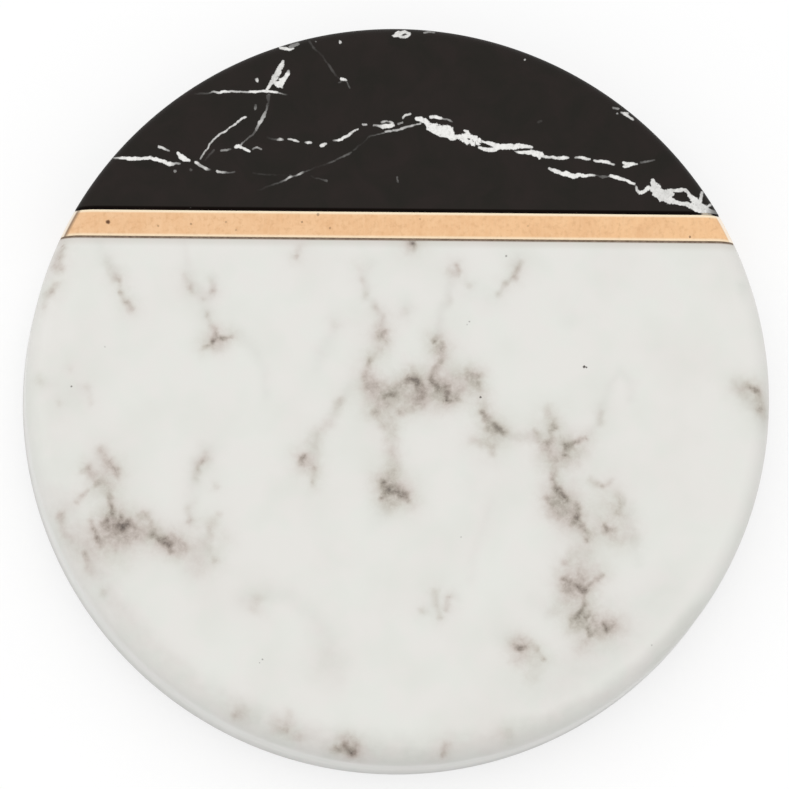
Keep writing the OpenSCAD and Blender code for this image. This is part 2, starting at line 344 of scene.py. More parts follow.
# The clouds of the white marble: each point is (x, y, radius, darkness), in pixels and percent
WHITE_CLOUDS = {
    "centre_left": [(380, 327, 4, 16), (381, 336, 4.5, 34), (386, 331, 2.2, 30), (386, 341, 3, 32)],
    "centre_drop": [
        (380, 350, 6, 14), (372, 358, 5, 16), (369, 362, 2.4, 50), (366, 373, 3.4, 34), (370, 384, 6, 20),
    ],
    "centre_column": [(372, 388, 7, 18), (374, 400, 7, 16), (378, 412, 6, 14)],
    "left_knot": [(386, 397, 3.2, 50), (394, 396, 3.4, 42), (388, 401, 6, 22), (381, 391, 6, 18)],
    "left_foot": [(376, 411, 3, 42), (382, 425, 3.4, 22)],
    "bridge": [
        (394, 392, 6, 28), (402, 386, 6, 32), (408, 380, 3, 60), (416, 382, 3, 54), (414, 374, 5, 20),
    ],
    "bridge_fall": [
        (416, 382, 4, 42), (422, 391, 5.5, 50), (421, 400, 6, 38), (414, 406, 5, 26), (426, 397, 5, 32),
    ],
    "under_bridge": [(400, 411, 2.6, 30), (406, 411, 3.4, 16), (407, 400, 7, 12)],
    "peak": [
        (434, 341, 2.6, 62), (439, 337, 4, 22), (443, 348, 2.8, 56), (438, 350, 6, 24), (440, 358, 5, 26),
    ],
    "peak_stem": [
        (440, 363, 3, 30), (436, 371, 3.2, 34), (432, 379, 3.4, 56), (436, 384, 4, 42), (438, 390, 3.2, 60),
    ],
    "peak_foot": [
        (445, 388, 3, 44), (446, 394, 2, 40), (446, 400, 1.9, 85), (452, 400, 3, 30), (456, 399, 3, 40),
    ],
    "peak_cloud": [(450, 391, 9, 26), (460, 388, 8, 22), (455, 378, 7, 17), (466, 378, 7, 14)],
    "shoulder": [
        (468, 372, 5, 16), (474, 377, 3, 28), (480, 376, 2.6, 26), (478, 382, 3, 42), (480, 387, 2, 20),
    ],
    "shoulder_mist": [(474, 380, 7, 16), (482, 392, 5, 10), (484, 403, 5, 10)],
    "right_arm": [
        (484, 411, 3.2, 52), (489, 420, 4, 48), (497, 428, 3.8, 70), (503, 431, 3.2, 48), (491, 427, 6, 34),
    ],
    "right_arm_foot": [(473, 442, 4, 16), (486, 442, 5, 18), (492, 446, 4, 22), (492, 453, 3, 20)],
    "right_link": [(506, 434, 4, 10), (520, 438, 5, 8), (534, 438, 5, 10)],
    "left_branch": [
        (340, 400, 3, 22), (338, 407, 3.4, 16), (328, 424, 5, 10), (318, 434, 5, 12), (315, 446, 5, 12),
    ],
    "left_branch_knot": [
        (302, 458, 3, 60), (300, 465, 3, 34), (309, 464, 7, 26), (315, 468, 4, 30), (314, 482, 2, 28),
    ],
    "column": [
        (390, 418, 5, 13), (393, 430, 4.5, 17), (391, 441, 5, 16), (392, 454, 5.5, 20), (393, 470, 6, 24),
    ],
    "column_knots": [(383, 482, 2.3, 62), (384, 490, 2.2, 40), (383, 498, 2, 42)],
    "column_run": [(391, 491, 3.2, 46), (400, 494, 2.6, 66), (406, 495, 2.4, 44), (409, 500, 2.4, 46)],
    "column_cloud": [(391, 489, 8, 34), (401, 494, 7, 26), (391, 504, 6, 22)],
    "cluster_top": [
        (548, 410, 4, 20), (552, 420, 6, 20), (556, 426, 2.4, 42), (552, 430, 2.2, 40), (551, 437, 3, 20),
    ],
    "cluster_left": [(538, 433, 3, 22), (541, 442, 3, 28), (548, 444, 3, 40), (546, 453, 6, 18)],
    "cluster_mid": [
        (566, 445, 2.2, 66), (564, 454, 2, 54), (570, 444, 3, 30), (578, 443, 2, 44), (585, 439, 1.8, 42),
    ],
    "cluster_cloud": [(566, 449, 9, 22), (576, 452, 7, 20), (556, 460, 6, 24), (575, 460, 6, 13)],
    "cluster_fall": [
        (554, 470, 4, 20), (553, 480, 2.6, 50), (558, 490, 3.2, 66), (562, 496, 3.2, 66),
        (566, 499, 2.8, 50),
    ],
    "cluster_knot": [(547, 498, 2.8, 42), (558, 505, 8, 36), (564, 512, 8, 32), (552, 515, 5, 16)],
    "cluster_hook": [
        (575, 503, 2.6, 40), (578, 510, 2.6, 50), (577, 515, 2.4, 50), (575, 518, 2.2, 90),
        (578, 525, 4, 26),
    ],
    "cluster_foot": [(583, 528, 4, 26), (587, 532, 2.6, 42), (586, 541, 2.2, 40), (588, 536, 6, 16)],
    "loop_top": [(592, 481, 3, 16), (601, 486, 2.4, 34), (610, 483, 2.4, 16)],
    "loop_right": [(618, 497, 3.4, 22), (620, 505, 3.2, 28), (619, 515, 2.8, 24), (613, 508, 8, 8)],
    "loop_foot": [
        (604, 528, 2.3, 50), (608, 531, 2.6, 40), (613, 532, 4, 20), (618, 542, 5, 12), (630, 540, 6, 8),
    ],
    "high_right": [(602, 414, 3, 14), (601, 422, 3, 14)],
    "loop_mist": [(606, 512, 14, 7), (622, 530, 14, 7)],
    "pit_top": [(565, 562, 3, 24), (575, 553, 4, 14), (583, 557, 8, 10)],
    "pit_left": [(564, 579, 2.6, 55), (571, 582, 3, 42), (567, 587, 6, 40), (576, 588, 6, 26)],
    "pit_thread": [
        (566, 580, 1.6, 28), (578, 586, 2, 54), (586, 589, 2.4, 58), (592, 583, 1.7, 36), (598, 578, 2, 38),
        (602, 574, 2, 38),
    ],
    "pit_cloud": [(579, 573, 3, 26), (583, 578, 7, 20), (575, 568, 8, 11), (590, 570, 6, 10)],
    "pit_stem": [
        (586, 589, 2, 50), (585, 597, 1.8, 30), (586, 604, 1.7, 55), (583, 610, 1.9, 55),
        (578, 615, 1.9, 55), (571, 621, 3, 36),
    ],
    "pit_foot": [(588, 614, 2.8, 42), (580, 620, 7, 34), (573, 628, 5, 22), (592, 621, 7, 26)],
    "pit_claw": [(588, 628, 2.2, 50), (590, 635, 2.3, 48), (596, 632, 4, 20), (585, 640, 5, 14)],
    "pit_right": [(605, 626, 2.2, 55), (606, 627, 2.4, 62)],
    "pit_right_cloud": [(612, 618, 3, 16), (613, 626, 7, 32), (604, 632, 5, 20)],
    "pit_mist": [(568, 600, 8, 12), (552, 612, 5, 7), (580, 647, 6, 12)],
    "low_knot": [
        (514, 646, 3, 34), (521, 648, 2.7, 75), (529, 646, 3.6, 24), (537, 649, 2, 28), (543, 658, 2.5, 34),
    ],
    "low_cloud": [(521, 641, 4, 20), (518, 660, 5, 16), (532, 657, 7, 12), (532, 676, 6, 10)],
    "strip_spot": [(413, 242, 2.6, 66), (412, 246, 4.6, 32)],
    "upper_left_dash": [(301, 248, 3, 12), (297, 256, 2.2, 30)],
    "upper_right_dash": [
        (456, 265, 2, 32), (458, 271, 2, 30), (458, 276, 1.8, 28), (451, 272, 3, 18), (469, 284, 2.4, 15),
    ],
    "upper_right_arc": [
        (519, 262, 2.6, 16), (516, 269, 2.4, 32), (514, 277, 2.4, 34), (506, 284, 2.2, 28),
        (498, 294, 2.8, 18),
    ],
    "upper_thread": [(363, 282, 2.6, 13), (366, 294, 2.4, 16), (376, 308, 2.4, 17), (383, 318, 2.6, 16)],
    "upper_faint": [(448, 300, 4, 7), (406, 312, 4, 7), (336, 326, 4, 7), (360, 270, 8, 5)],
    "north_west": [
        (108, 263, 4, 7), (115, 278, 3.4, 22), (119, 280, 2, 36), (122, 292, 2, 36), (126, 302, 2.2, 38),
        (130, 308, 3, 30),
    ],
    "west_marks": [(186, 276, 2.6, 12), (190, 288, 2.4, 30), (192, 293, 2.4, 14)],
    "west_mark_right": [(213, 290, 2.6, 26), (212, 281, 3, 10)],
    "west_thread": [(204, 299, 2, 14), (207, 314, 2, 20), (210, 325, 2.2, 16), (214, 331, 2, 30)],
    "west_knot": [
        (213, 341, 2.4, 70), (215, 334, 1.7, 50), (220, 339, 2, 60), (226, 338, 1.6, 50),
        (232, 336, 1.7, 48),
    ],
    "west_knot_tail": [(208, 345, 1.9, 40), (204, 348, 2, 30), (218, 345, 5, 13)],
    "rim_west": [(63, 249, 1.6, 40), (60, 257, 2.2, 36), (58, 267, 3.6, 26), (54, 268, 1.8, 24)],
    "rim_west_low": [(56, 286, 2.6, 24), (52, 292, 2.6, 32), (46, 296, 2.6, 18), (43, 307, 2.4, 18)],
    "west_faint": [(70, 369, 3, 6), (41, 381, 4, 9), (86, 388, 3, 8), (90, 402, 3, 10), (60, 403, 3, 8)],
    "rim_east": [
        (742, 390, 4, 10), (748, 386, 3, 26), (754, 389, 2, 70), (757, 391, 2, 40), (759, 398, 4, 18),
        (761, 407, 3.4, 36), (764, 418, 3, 16),
    ],
    "rim_east_low": [(736, 386, 6, 8), (748, 396, 7, 10), (760, 408, 5, 10)],
    "south_west_top": [
        (101, 452, 4.4, 24), (106, 460, 4, 26), (112, 464, 3.4, 36), (115, 469, 3.4, 42), (116, 476, 3, 20),
    ],
    "south_west_ring": [
        (88, 468, 3, 34), (84, 471, 2.8, 24), (90, 475, 3.4, 26), (103, 476, 9, 15), (95, 486, 1.9, 50),
    ],
    "south_west_dash": [(87, 491, 1.7, 26), (82, 496, 1.8, 36), (76, 502, 2, 22)],
    "south_west_stem": [(107, 490, 4, 20), (110, 498, 2.6, 38), (112, 507, 2.2, 50), (112, 514, 2.2, 40)],
    "south_west_knots": [(107, 520, 2.6, 68), (104, 526, 2.8, 46), (112, 524, 7, 24)],
    "south_west_heart": [
        (121, 518, 2.8, 56), (122, 526, 4, 82), (129, 522, 3, 66), (133, 528, 2.4, 46), (120, 531, 2.4, 40),
    ],
    "south_west_foot": [(135, 536, 2.4, 34), (125, 538, 8, 20), (110, 537, 8, 18), (115, 548, 4, 15)],
    "south_west_hook": [(92, 522, 2.4, 30), (93, 530, 2, 44), (96, 537, 2.2, 60), (102, 544, 2.4, 30)],
    "south_west_ring_b": [
        (140, 516, 3.4, 20), (146, 516, 2.8, 26), (152, 522, 2.6, 26), (156, 529, 2.6, 26),
        (145, 530, 8, 20),
    ],
    "south_west_tail": [
        (154, 534, 2.4, 46), (160, 538, 2.6, 56), (165, 542, 3, 80), (168, 545, 3, 78), (170, 551, 2.6, 42),
    ],
    "south_west_tail_cloud": [(162, 541, 6, 22), (177, 541, 6, 24), (184, 548, 4, 26), (176, 551, 4, 16)],
    "south_west_mist": [(118, 560, 12, 6), (98, 548, 10, 10), (80, 540, 12, 6)],
    "rim_south_west": [(60, 516, 2.8, 38), (62, 524, 3, 20), (64, 534, 3, 16), (71, 539, 3.4, 12)],
    "rim_south_west_b": [(84, 556, 2.2, 36), (86, 561, 2.4, 28), (89, 570, 4, 14), (103, 592, 3, 20)],
    "middle_west": [(206, 456, 4, 16), (202, 462, 2.3, 42), (198, 469, 2.4, 28), (196, 478, 3, 14)],
    "middle_west_dots": [(215, 486, 3, 12), (187, 508, 2.6, 13), (190, 520, 2.2, 36)],
    "middle_west_arc": [
        (220, 514, 2.6, 12), (216, 519, 2.6, 12), (212, 525, 3.4, 18), (211, 534, 3, 16), (206, 545, 4, 10),
        (215, 560, 3.4, 22),
    ],
    "middle_west_mist": [(197, 552, 10, 9), (200, 568, 8, 8), (226, 540, 8, 5)],
    "south_faint": [(258, 598, 3.4, 13), (254, 609, 4, 9), (322, 660, 16, 3)],
    "south_star": [
        (436, 592, 3, 20), (437, 604, 2.4, 22), (440, 616, 2.4, 22), (450, 598, 2.4, 24),
        (446, 608, 2.4, 20), (424, 610, 3, 16),
    ],
    "rim_south_a": [(235, 716, 2.8, 26), (242, 713, 5, 15)],
    "rim_south_b": [(288, 716, 4, 12), (285, 729, 2.8, 32), (280, 726, 7, 13), (298, 737, 4, 16)],
    "rim_south_c": [
        (334, 750, 3, 30), (341, 750, 3, 50), (346, 746, 3.4, 62), (351, 753, 3, 80), (356, 747, 5, 30),
        (346, 739, 5, 14),
    ],
    "rim_south_d": [(445, 747, 3, 22), (443, 755, 2.6, 36)],
    "rim_south_e": [(506, 734, 6, 8)],
}

# Wide faint smoke in the white marble, and painted shade in a band along the near rim (the first route): (x,
# y, radius, darkness), in pixels and percent
WHITE_SMOKE_AND_RIM_SHADE = {
    # Painted shade along the near rim, where the rounded edge turns away from the light
    "rim": [
        (58, 492, 9, 9), (81, 547, 9, 11), (112, 599, 9, 13), (151, 645, 9, 10), (197, 684, 9, 10),
        (249, 714, 10, 14), (306, 736, 10, 15), (365, 748, 10, 16), (427, 750, 10, 14), (488, 740, 9, 14),
        (547, 721, 8, 12), (602, 692, 7, 10), (653, 655, 6, 8), (696, 608, 5, 6),
    ],
    "left_field": [(45, 381, 8, 3), (62, 396, 14, 3), (86, 390, 5, 6)],
    "left_low": [(60, 480, 12, 3), (52, 450, 10, 2)],
    "north_west": [(98, 242, 5, 3), (107, 258, 4, 5), (115, 276, 4, 7)],
    "west_fork": [(183, 242, 4, 3), (187, 262, 4, 5), (193, 284, 5, 7), (202, 298, 8, 7), (208, 320, 4, 7)],
    "west_fork_right": [(216, 276, 4, 5), (212, 292, 5, 7), (204, 304, 5, 7)],
    "west_tail": [(228, 336, 4, 5), (240, 333, 4, 4), (255, 351, 5, 4), (265, 370, 5, 4), (266, 394, 4, 4)],
    "middle_patch": [(330, 318, 5, 3), (335, 328, 5, 5), (322, 352, 8, 7), (316, 366, 6, 4)],
    "arm_thread": [(338, 404, 4, 5), (346, 392, 5, 5), (354, 383, 5, 4), (366, 376, 6, 4)],
    "arm_fall": [(338, 404, 4, 5), (326, 422, 5, 5), (316, 438, 5, 6), (312, 452, 6, 7)],
    "upper_smoke": [
        (372, 262, 4, 3), (364, 282, 4, 5), (368, 298, 4, 5), (380, 311, 4, 6), (384, 324, 4, 8),
    ],
    "peak_thread": [
        (456, 262, 4, 5), (452, 284, 4, 7), (445, 306, 4, 7), (440, 322, 4, 9), (436, 334, 4, 9),
    ],
    "peak_arc": [(518, 256, 4, 7), (515, 272, 4, 8), (505, 285, 4, 8), (498, 296, 4, 6)],
    "peak_field": [(470, 291, 15, 3), (486, 300, 13, 3)],
    "upper_patch": [(406, 308, 7, 5), (405, 318, 6, 3)],
    "right_patch": [(570, 318, 9, 3), (562, 306, 8, 2)],
    "loops": [
        (588, 436, 4, 5), (598, 424, 4, 7), (601, 408, 4, 7), (607, 391, 4, 5), (620, 371, 5, 5),
        (631, 382, 5, 5), (630, 398, 4, 5),
    ],
    "arm_link": [(500, 434, 6, 9), (516, 438, 5, 6), (534, 437, 6, 8)],
    "below_arm": [(480, 464, 16, 3), (472, 484, 10, 3)],
    "south_thread": [(490, 500, 5, 3), (484, 530, 4, 3), (473, 556, 4, 3), (470, 580, 5, 3)],
    "low_path": [
        (245, 600, 8, 7), (268, 594, 8, 5), (290, 596, 8, 5), (308, 612, 9, 5), (322, 636, 10, 5),
        (334, 662, 12, 5), (338, 682, 9, 3),
    ],
    "middle_west": [(204, 538, 7, 5), (196, 556, 9, 7), (190, 572, 8, 5)],
    "middle_west_up": [
        (206, 452, 7, 8), (198, 466, 7, 9), (194, 482, 7, 6), (190, 506, 5, 5), (191, 522, 5, 7),
    ],
    "star": [(432, 606, 11, 5), (446, 602, 10, 5)],
    "south_west": [
        (98, 470, 12, 4), (104, 500, 12, 4), (118, 536, 18, 4), (152, 530, 14, 4), (196, 552, 14, 4),
    ],
    "east_column": [(560, 440, 16, 3), (562, 500, 18, 4), (588, 540, 14, 3), (576, 600, 18, 3)],
    "middle_cloud": [(384, 392, 16, 4), (430, 384, 20, 3), (470, 384, 14, 3)],
    "column_foot": [(380, 512, 8, 7), (372, 526, 7, 3)],
    "pit_left": [(535, 600, 8, 3), (552, 612, 8, 7), (560, 600, 8, 5)],
    "pit_right": [(620, 598, 8, 3), (606, 604, 7, 4)],
    "low_knot_left": [(498, 630, 8, 3), (508, 640, 8, 5)],
    "low_field": [(560, 662, 15, 3), (520, 690, 12, 3)],
    "south_east": [(548, 690, 20, 5), (606, 650, 20, 6), (664, 588, 15, 4)],
    "loop_fall": [(624, 505, 6, 6), (632, 532, 6, 6), (638, 562, 5, 4)],
    "rim_east": [(742, 286, 5, 6), (741, 298, 4, 3)],
    "rim_east_low": [(736, 386, 6, 8), (748, 396, 8, 9), (762, 424, 6, 8)],
}

# Dark pins in the white marble: (x, y, radius, strength)
WHITE_PINS = [
    (584.2, 367, 1.5, 1), (586.4, 367.2, 1.1, 0.9), (480.7, 397.3, 1.2, 0.85), (71.4, 386.6, 1.2, 0.7),
    (105, 346.6, 1, 0.25), (262.2, 659.6, 1, 0.55), (259.4, 662.6, 0.8, 0.4), (469.3, 321.5, 1, 0.45),
    (467, 324.6, 0.8, 0.3), (506, 256, 1.1, 0.55), (732, 548.8, 1.1, 0.45), (651.5, 645.3, 1, 0.3),
    (461, 537, 1, 0.35),
]

# Marks in the brass: (x, y, radius, depth of colour), the first three in pixels
BRASS_MARKS = [
    (108, 222, 2.4, 0.9), (191, 224, 1.2, 0.5), (158, 226, 1.2, 0.35), (226, 222, 1.3, 0.35),
    (302, 222, 1.2, 0.5), (318, 214.5, 1.6, 0.5), (330, 228, 1.3, 0.4), (236, 230, 1.3, 0.3),
    (710, 218, 1.3, 0.8), (690, 237, 1.3, 0.7), (420, 219, 1.1, 0.3), (528, 226, 1.2, 0.2),
]

# Where the rear glue is milky, by the large vein at the right: (x, y, radius, strength)
MILKY_GLUE = [(706, 215, 5, 0.8), (711, 216, 5, 0.85), (716, 217, 5, 0.7)]


# Fields of the veins and clouds over the points of a mesh

PERCENT = 0.01
# How many cells a table of random waves has each way before it repeats
NOISE_CELLS = 256
# Waves that make outlines wander: (length, reach, seed)
BLACK_WARP = [(6 * PIXEL, 0.7 * PIXEL, 11), (2.4 * PIXEL, 0.35 * PIXEL, 21)]
WHITE_WARP = [(12 * PIXEL, 1.6 * PIXEL, 31), (4.5 * PIXEL, 1.1 * PIXEL, 41)]
# How far outside the veins their depth is still measured
VEIN_REACH = 1.5 * MM
# How fast the thread between two spots fades as the gap between them widens
LINK_FADE = 0.36
# How wide and how dark the core of a cloud is, and the mist round it
CORE_SPREAD, CORE_SHARE = 1.3, 0.95
MIST_SPREAD, MIST_REACH, MIST_SHARE = 2, 7 * PIXEL, 0.2
# How wide the smoke and the painted rim shade spread
SMOKE_AND_SHADE_SPREAD = 1.3
# The height above the underside below which the smoke and the painted rim shade thin out
SMOKE_AND_SHADE_FLOOR = 3 * MM
# How far the pattern leans to one side on its way down the wall, as a share of the depth
VEIN_LEAN = 0.9
# The least square of a length that is divided by
TINY = 1e-12


def waves(x, y, size, seed):
    """Smooth random waves from -1 to 1 that are about size long."""
    table = np.random.default_rng(seed).uniform(-1, 1, (NOISE_CELLS, NOISE_CELLS))
    across, along = x / size, y / size
    i, j = np.floor(across).astype(int), np.floor(along).astype(int)
    u, v = across - i, along - j
    u, v = u * u * (3 - 2 * u), v * v * (3 - 2 * v)

    def value(a, b):
        return table[a % NOISE_CELLS, b % NOISE_CELLS]

    near = value(i, j) * (1 - u) + value(i + 1, j) * u
    far = value(i, j + 1) * (1 - u) + value(i + 1, j + 1) * u
    return near * (1 - v) + far * v


def warped(x, y, steps):
    """The points, pushed about by waves: steps are (length, reach, seed)."""
    for length, reach, seed in steps:
        push_x = waves(x, y, length, seed) * reach
        push_y = waves(x, y, length, seed + 1) * reach
        x, y = x + push_x, y + push_y
    return x, y


def nearest(x, y, start, end):
    """How far each point is from a stretch, and the share of the stretch at which it is nearest."""
    ax, ay = on_top(*start[:2])
    bx, by = on_top(*end[:2])
    length = (bx - ax) ** 2 + (by - ay) ** 2
    share = np.clip(((x - ax) * (bx - ax) + (y - ay) * (by - ay)) / max(length, TINY), 0, 1)
    return np.hypot(x - ax - share * (bx - ax), y - ay - share * (by - ay)), share


def between(start, end, share):
    """The width and the strength of a stretch at a share of its length."""
    return [start[k] + (end[k] - start[k]) * share for k in (2, -1)]


def stretches(route):
    """Each two neighbours of a route, or its only point twice."""
    return zip(route, route[1:] or route)


def bell(away, reach):
    """1 in the middle, and less and less outwards."""
    return np.exp(-((away / reach) ** 2))


def vein_depth(x, y, routes):
    """How far inside the veins each point is (negative outside), and their whiteness and half width."""
    depth, whiteness, width = np.full(x.shape, -VEIN_REACH), np.zeros(x.shape), np.zeros(x.shape)
    for route in routes.values():
        for start, end in stretches(route):
            away, share = nearest(x, y, start, end)
            half, white = between(start, end, share)
            inside = half * PIXEL - away
            deeper = inside > depth
            depth[deeper] = inside[deeper]
            whiteness[deeper] = white[deeper]
            width[deeper] = half[deeper]
    return depth, whiteness, width


def cloud_darkness(x, y, routes):
    """The darkness from 0 to 1 of soft spots, the mist round them and the threads between near ones."""
    clear = np.ones(x.shape)
    for route in routes.values():
        core, mist = np.zeros(x.shape), np.zeros(x.shape)
        for start, end in stretches(route):
            away, share = nearest(x, y, start, end)
            gap = math.hypot(end[0] - start[0], end[1] - start[1]) / (start[2] + end[2])
            fade = min(max(LINK_FADE * (gap - 1), 0), 1)
            radius, strength = between(start, end, share)
            radius = radius * PIXEL
            strength = strength * PERCENT * (1 - fade * np.sqrt(4 * share * (1 - share)))
            core = np.maximum(core, strength * bell(away, radius * CORE_SPREAD))
            mist = np.maximum(mist, strength * bell(away, radius * MIST_SPREAD + MIST_REACH))
        clear *= (1 - core * CORE_SHARE) * (1 - mist * MIST_SHARE)
    return 1 - clear


def smoke_and_rim_shade_darkness(x, y, routes):
    """The darkness of wide faint smoke and of the painted rim shade, which runs on unbroken from point to
    point.
    """
    darkness = np.zeros(x.shape)
    for route in routes.values():
        for start, end in stretches(route):
            away, share = nearest(x, y, start, end)
            radius, strength = between(start, end, share)
            darkness = np.maximum(darkness, strength * bell(away, radius * PIXEL * SMOKE_AND_SHADE_SPREAD))
    return darkness * PERCENT


def pattern_place(co):
    """Where the top face's pattern is read for points below it: down in the stone it leans to one side."""
    depth = DISC_TOP - co[:, 2]
    lean = math.tan(CAMERA_TILT) * depth + VEIN_LEAN * np.maximum(depth - TOP_ROUND, 0)
    return co[:, 0] + lean * math.cos(CAMERA_AZIMUTH), co[:, 1] + lean * math.sin(CAMERA_AZIMUTH)


# Meshes

QUARTER = math.pi / 2
# The accuracy of the triangulation, in millimetres
WELD = 1e-7
# How near the lattice comes to an outline, as a share of its cell
CLEARANCE = 0.6
SHARP_ANGLE = math.radians(40)


def rim_profile(cell):
    """(radius, height) from the edge of the top face, over the rounded rim, down the wall and under it."""
    points = []
    shoulder, foot = DISC_TOP - TOP_ROUND, DISC_BOTTOM + BOTTOM_ROUND
    turns = max(TOP_STEPS, round(TOP_ROUND * QUARTER / cell))
    for i in range(turns + 1):
        a = QUARTER * (1 - i / turns)
        points.append((DISC_R - TOP_ROUND * (1 - math.cos(a)), DISC_TOP - TOP_ROUND * (1 - math.sin(a))))
    steps = round((shoulder - foot) / cell)
    for i in range(1, steps):
        points.append((DISC_R, shoulder - (shoulder - foot) * i / steps))
    turns = max(BOTTOM_STEPS, round(BOTTOM_ROUND * QUARTER / cell))
    for i in range(turns + 1):
        a = QUARTER * i / turns
        points.append((DISC_R - BOTTOM_ROUND * (1 - math.cos(a)), foot - BOTTOM_ROUND * math.sin(a)))
    return points


def arc_ends(radius, cut, rear):
    """The angles at which the straight cut meets a circle, for the part behind it or in front of it."""
    a = math.asin(cut / radius)
    return (a, math.pi - a) if rear else (math.pi - a, 2 * math.pi + a)


def filled(outline, cell, inside):
    """Triangles over a flat outline, on an even lattice. Returns the added points and the triangles."""
    low = np.min(outline, 0)
    high = np.max(outline, 0)
    rise = cell * math.sqrt(3) / 2
    added = []
    for j in range(int((high[1] - low[1]) / rise) + 2):
        y = low[1] + j * rise
        for i in range(int((high[0] - low[0]) / cell) + 2):
            x = low[0] + (i + 0.5 * (j % 2)) * cell
            if inside(x, y, cell * CLEARANCE):
                added.append((x, y))
    count = len(outline)
    scale = 1 / MM
    points = [Vector((x * scale, y * scale)) for x, y in [*outline, *added]]
    edges = [(i, (i + 1) % count) for i in range(count)]
    _, _, faces, origins, _, _ = delaunay_2d_cdt(points, edges, [], 1, WELD)
    return added, [tuple(origins[v][0] for v in face) for face in faces]


def rim_rows(cut, rear, cell, vertices, faces):
    """Adds the rim and the wall of a stone. Returns the rows of their points, from the top down."""
    first, last = arc_ends(DISC_R, cut, rear)
    columns = round((last - first) * DISC_R / (cell * RIM_STRETCH))
    rows = []
    for radius, height in rim_profile(cell):
        first, last = arc_ends(radius, cut, rear)
        rows.append([len(vertices) + i for i in range(columns + 1)])
        for i in range(columns + 1):
            a = first + (last - first) * i / columns
            vertices.append((radius * math.cos(a), radius * math.sin(a), height))
    for upper, lower in zip(rows, rows[1:]):
        for i in range(columns):
            faces.append((upper[i], lower[i], lower[i + 1], upper[i + 1]))
    return rows


def add_chord(row, cut, link, vertices):
    """Adds the points of the straight cut, from the end of a row to its start. Returns them all."""
    start, end = vertices[row[-1]], vertices[row[0]]
    links = round(abs(end[0] - start[0]) / link)
    chord = [row[-1]]
    for i in range(1, links):
        chord.append(len(vertices))
        vertices.append((start[0] + (end[0] - start[0]) * i / links, cut, start[2]))
    return [*chord, row[0]]


def segment_mesh(name, cut, rear, cell, rim_cell):
    """One stone of the disc: its top face, rounded rim, wall and underside, up to the straight cut."""
    vertices, faces, chords = [], [], []
    rows = rim_rows(cut, rear, rim_cell, vertices, faces)
    side = 1 if rear else -1
    for row, step, turn in ((rows[0], cell, 1), (rows[-1], cell * UNDERSIDE_COARSER, -1)):
        height = vertices[row[0]][2]
        radius = math.hypot(*vertices[row[0]][:2])
        chord = add_chord(row, cut, cell * UNDERSIDE_COARSER, vertices)
        chords.append(chord)
        ring = [*row, *chord[1:-1]]

        def inside(x, y, margin):
            return math.hypot(x, y) < radius - margin and (y - cut) * side > margin

        added, triangles = filled([vertices[v][:2] for v in ring], step, inside)
        places = [*ring, *range(len(vertices), len(vertices) + len(added))]
        vertices += [(x, y, height) for x, y in added]
        faces += [tuple(places[v] for v in face[::turn]) for face in triangles]

    above, below = chords
    near = [(above[i * (len(above) - 1) // (len(below) - 1)], below[i]) for i in range(len(below))]
    for (a, b), (c, d) in zip(near, near[1:]):
        faces.append((a, b, d, c))
    faces.append(tuple(row[0] for row in rows))
    faces.append(tuple(row[-1] for row in rows[::-1]))
    return make_mesh(name, vertices, faces)


def slice_outline(profile, y, inset):
    """The outline across the disc at a place in Y, drawn in by an inset."""
    right = []
    for i, (radius, height) in enumerate(profile):
        before, after = profile[max(i - 1, 0)], profile[min(i + 1, len(profile) - 1)]
        run = math.hypot(after[0] - before[0], after[1] - before[1])
        out_r, out_z = (before[1] - after[1]) / run, (after[0] - before[0]) / run
        if i in (0, len(profile) - 1):
            out_r, out_z = 0, 1 if i == 0 else -1
        x = math.sqrt(radius ** 2 - y ** 2)
        right.append((x - inset * out_r, height - inset * out_z))
    across = round(2 * DISC_R / STRIP_CELL)
    top = [(-right[0][0] + 2 * right[0][0] * i / across, right[0][1]) for i in range(1, across)]
    bottom = [(right[-1][0] - 2 * right[-1][0] * i / across, right[-1][1]) for i in range(1, across)]
    left = [(-x, z) for x, z in right[::-1]]
    return [*top, *right, *bottom, *left]


def slice_mesh(name, offsets, insets):
    """A thin layer across the disc: one closed outline at each place in Y, drawn in by the given inset."""
    profile = rim_profile(RIM_CELL)
    vertices, faces, loops = [], [], []
    for y, inset in zip(offsets, insets):
        outline = slice_outline(profile, y, inset)
        loops.append([len(vertices) + i for i in range(len(outline))])
        vertices += [(x, y, z) for x, z in outline]
    for near, far in zip(loops, loops[1:]):
        for i in range(len(near)):
            k = (i + 1) % len(near)
            faces.append((near[i], near[k], far[k], far[i]))
    faces.append(tuple(loops[0][::-1]))
    faces.append(tuple(loops[-1]))
    return make_mesh(name, vertices, faces)


def make_mesh(name, vertices, faces):
    mesh = bpy.data.meshes.new(name)
    mesh.from_pydata(vertices, [], faces)
    mesh.validate()
    mesh.update()
    return mesh


def points_of(mesh):
    co = np.empty(len(mesh.vertices) * 3)
    mesh.vertices.foreach_get("co", co)
    return co.reshape(-1, 3)


def set_attribute(mesh, name, values):
    layer = mesh.attributes.new(name, "FLOAT", "POINT")
    layer.data.foreach_set("value", np.asarray(values, np.float32))


def add_piece(name, mesh, material, node):
    """Puts a mesh in the scene as the piece that stands for a CAD node."""
    piece = add_object(name, mesh)
    mesh.materials.append(material)
    mesh.polygons.foreach_set("use_smooth", [True] * len(mesh.polygons))
    mesh.set_sharp_from_angle(angle=SHARP_ANGLE)
    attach(piece, "root")
    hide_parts(node)
    return piece


# Materials

# Noise lies mostly between these values
NOISE_LOW, NOISE_HIGH = 0.3, 0.7
# Where the soft edge of a spot starts and ends, as shares of its radius
SPOT_INNER, SPOT_OUTER = 0.5, 1.25
# Saw marks: how far apart they are, and how much they are drawn out along the strip
SAW_SIZE, SAW_STRETCH = 0.35 * MM, 0.04
WHITE = (1, 1, 1, 1)


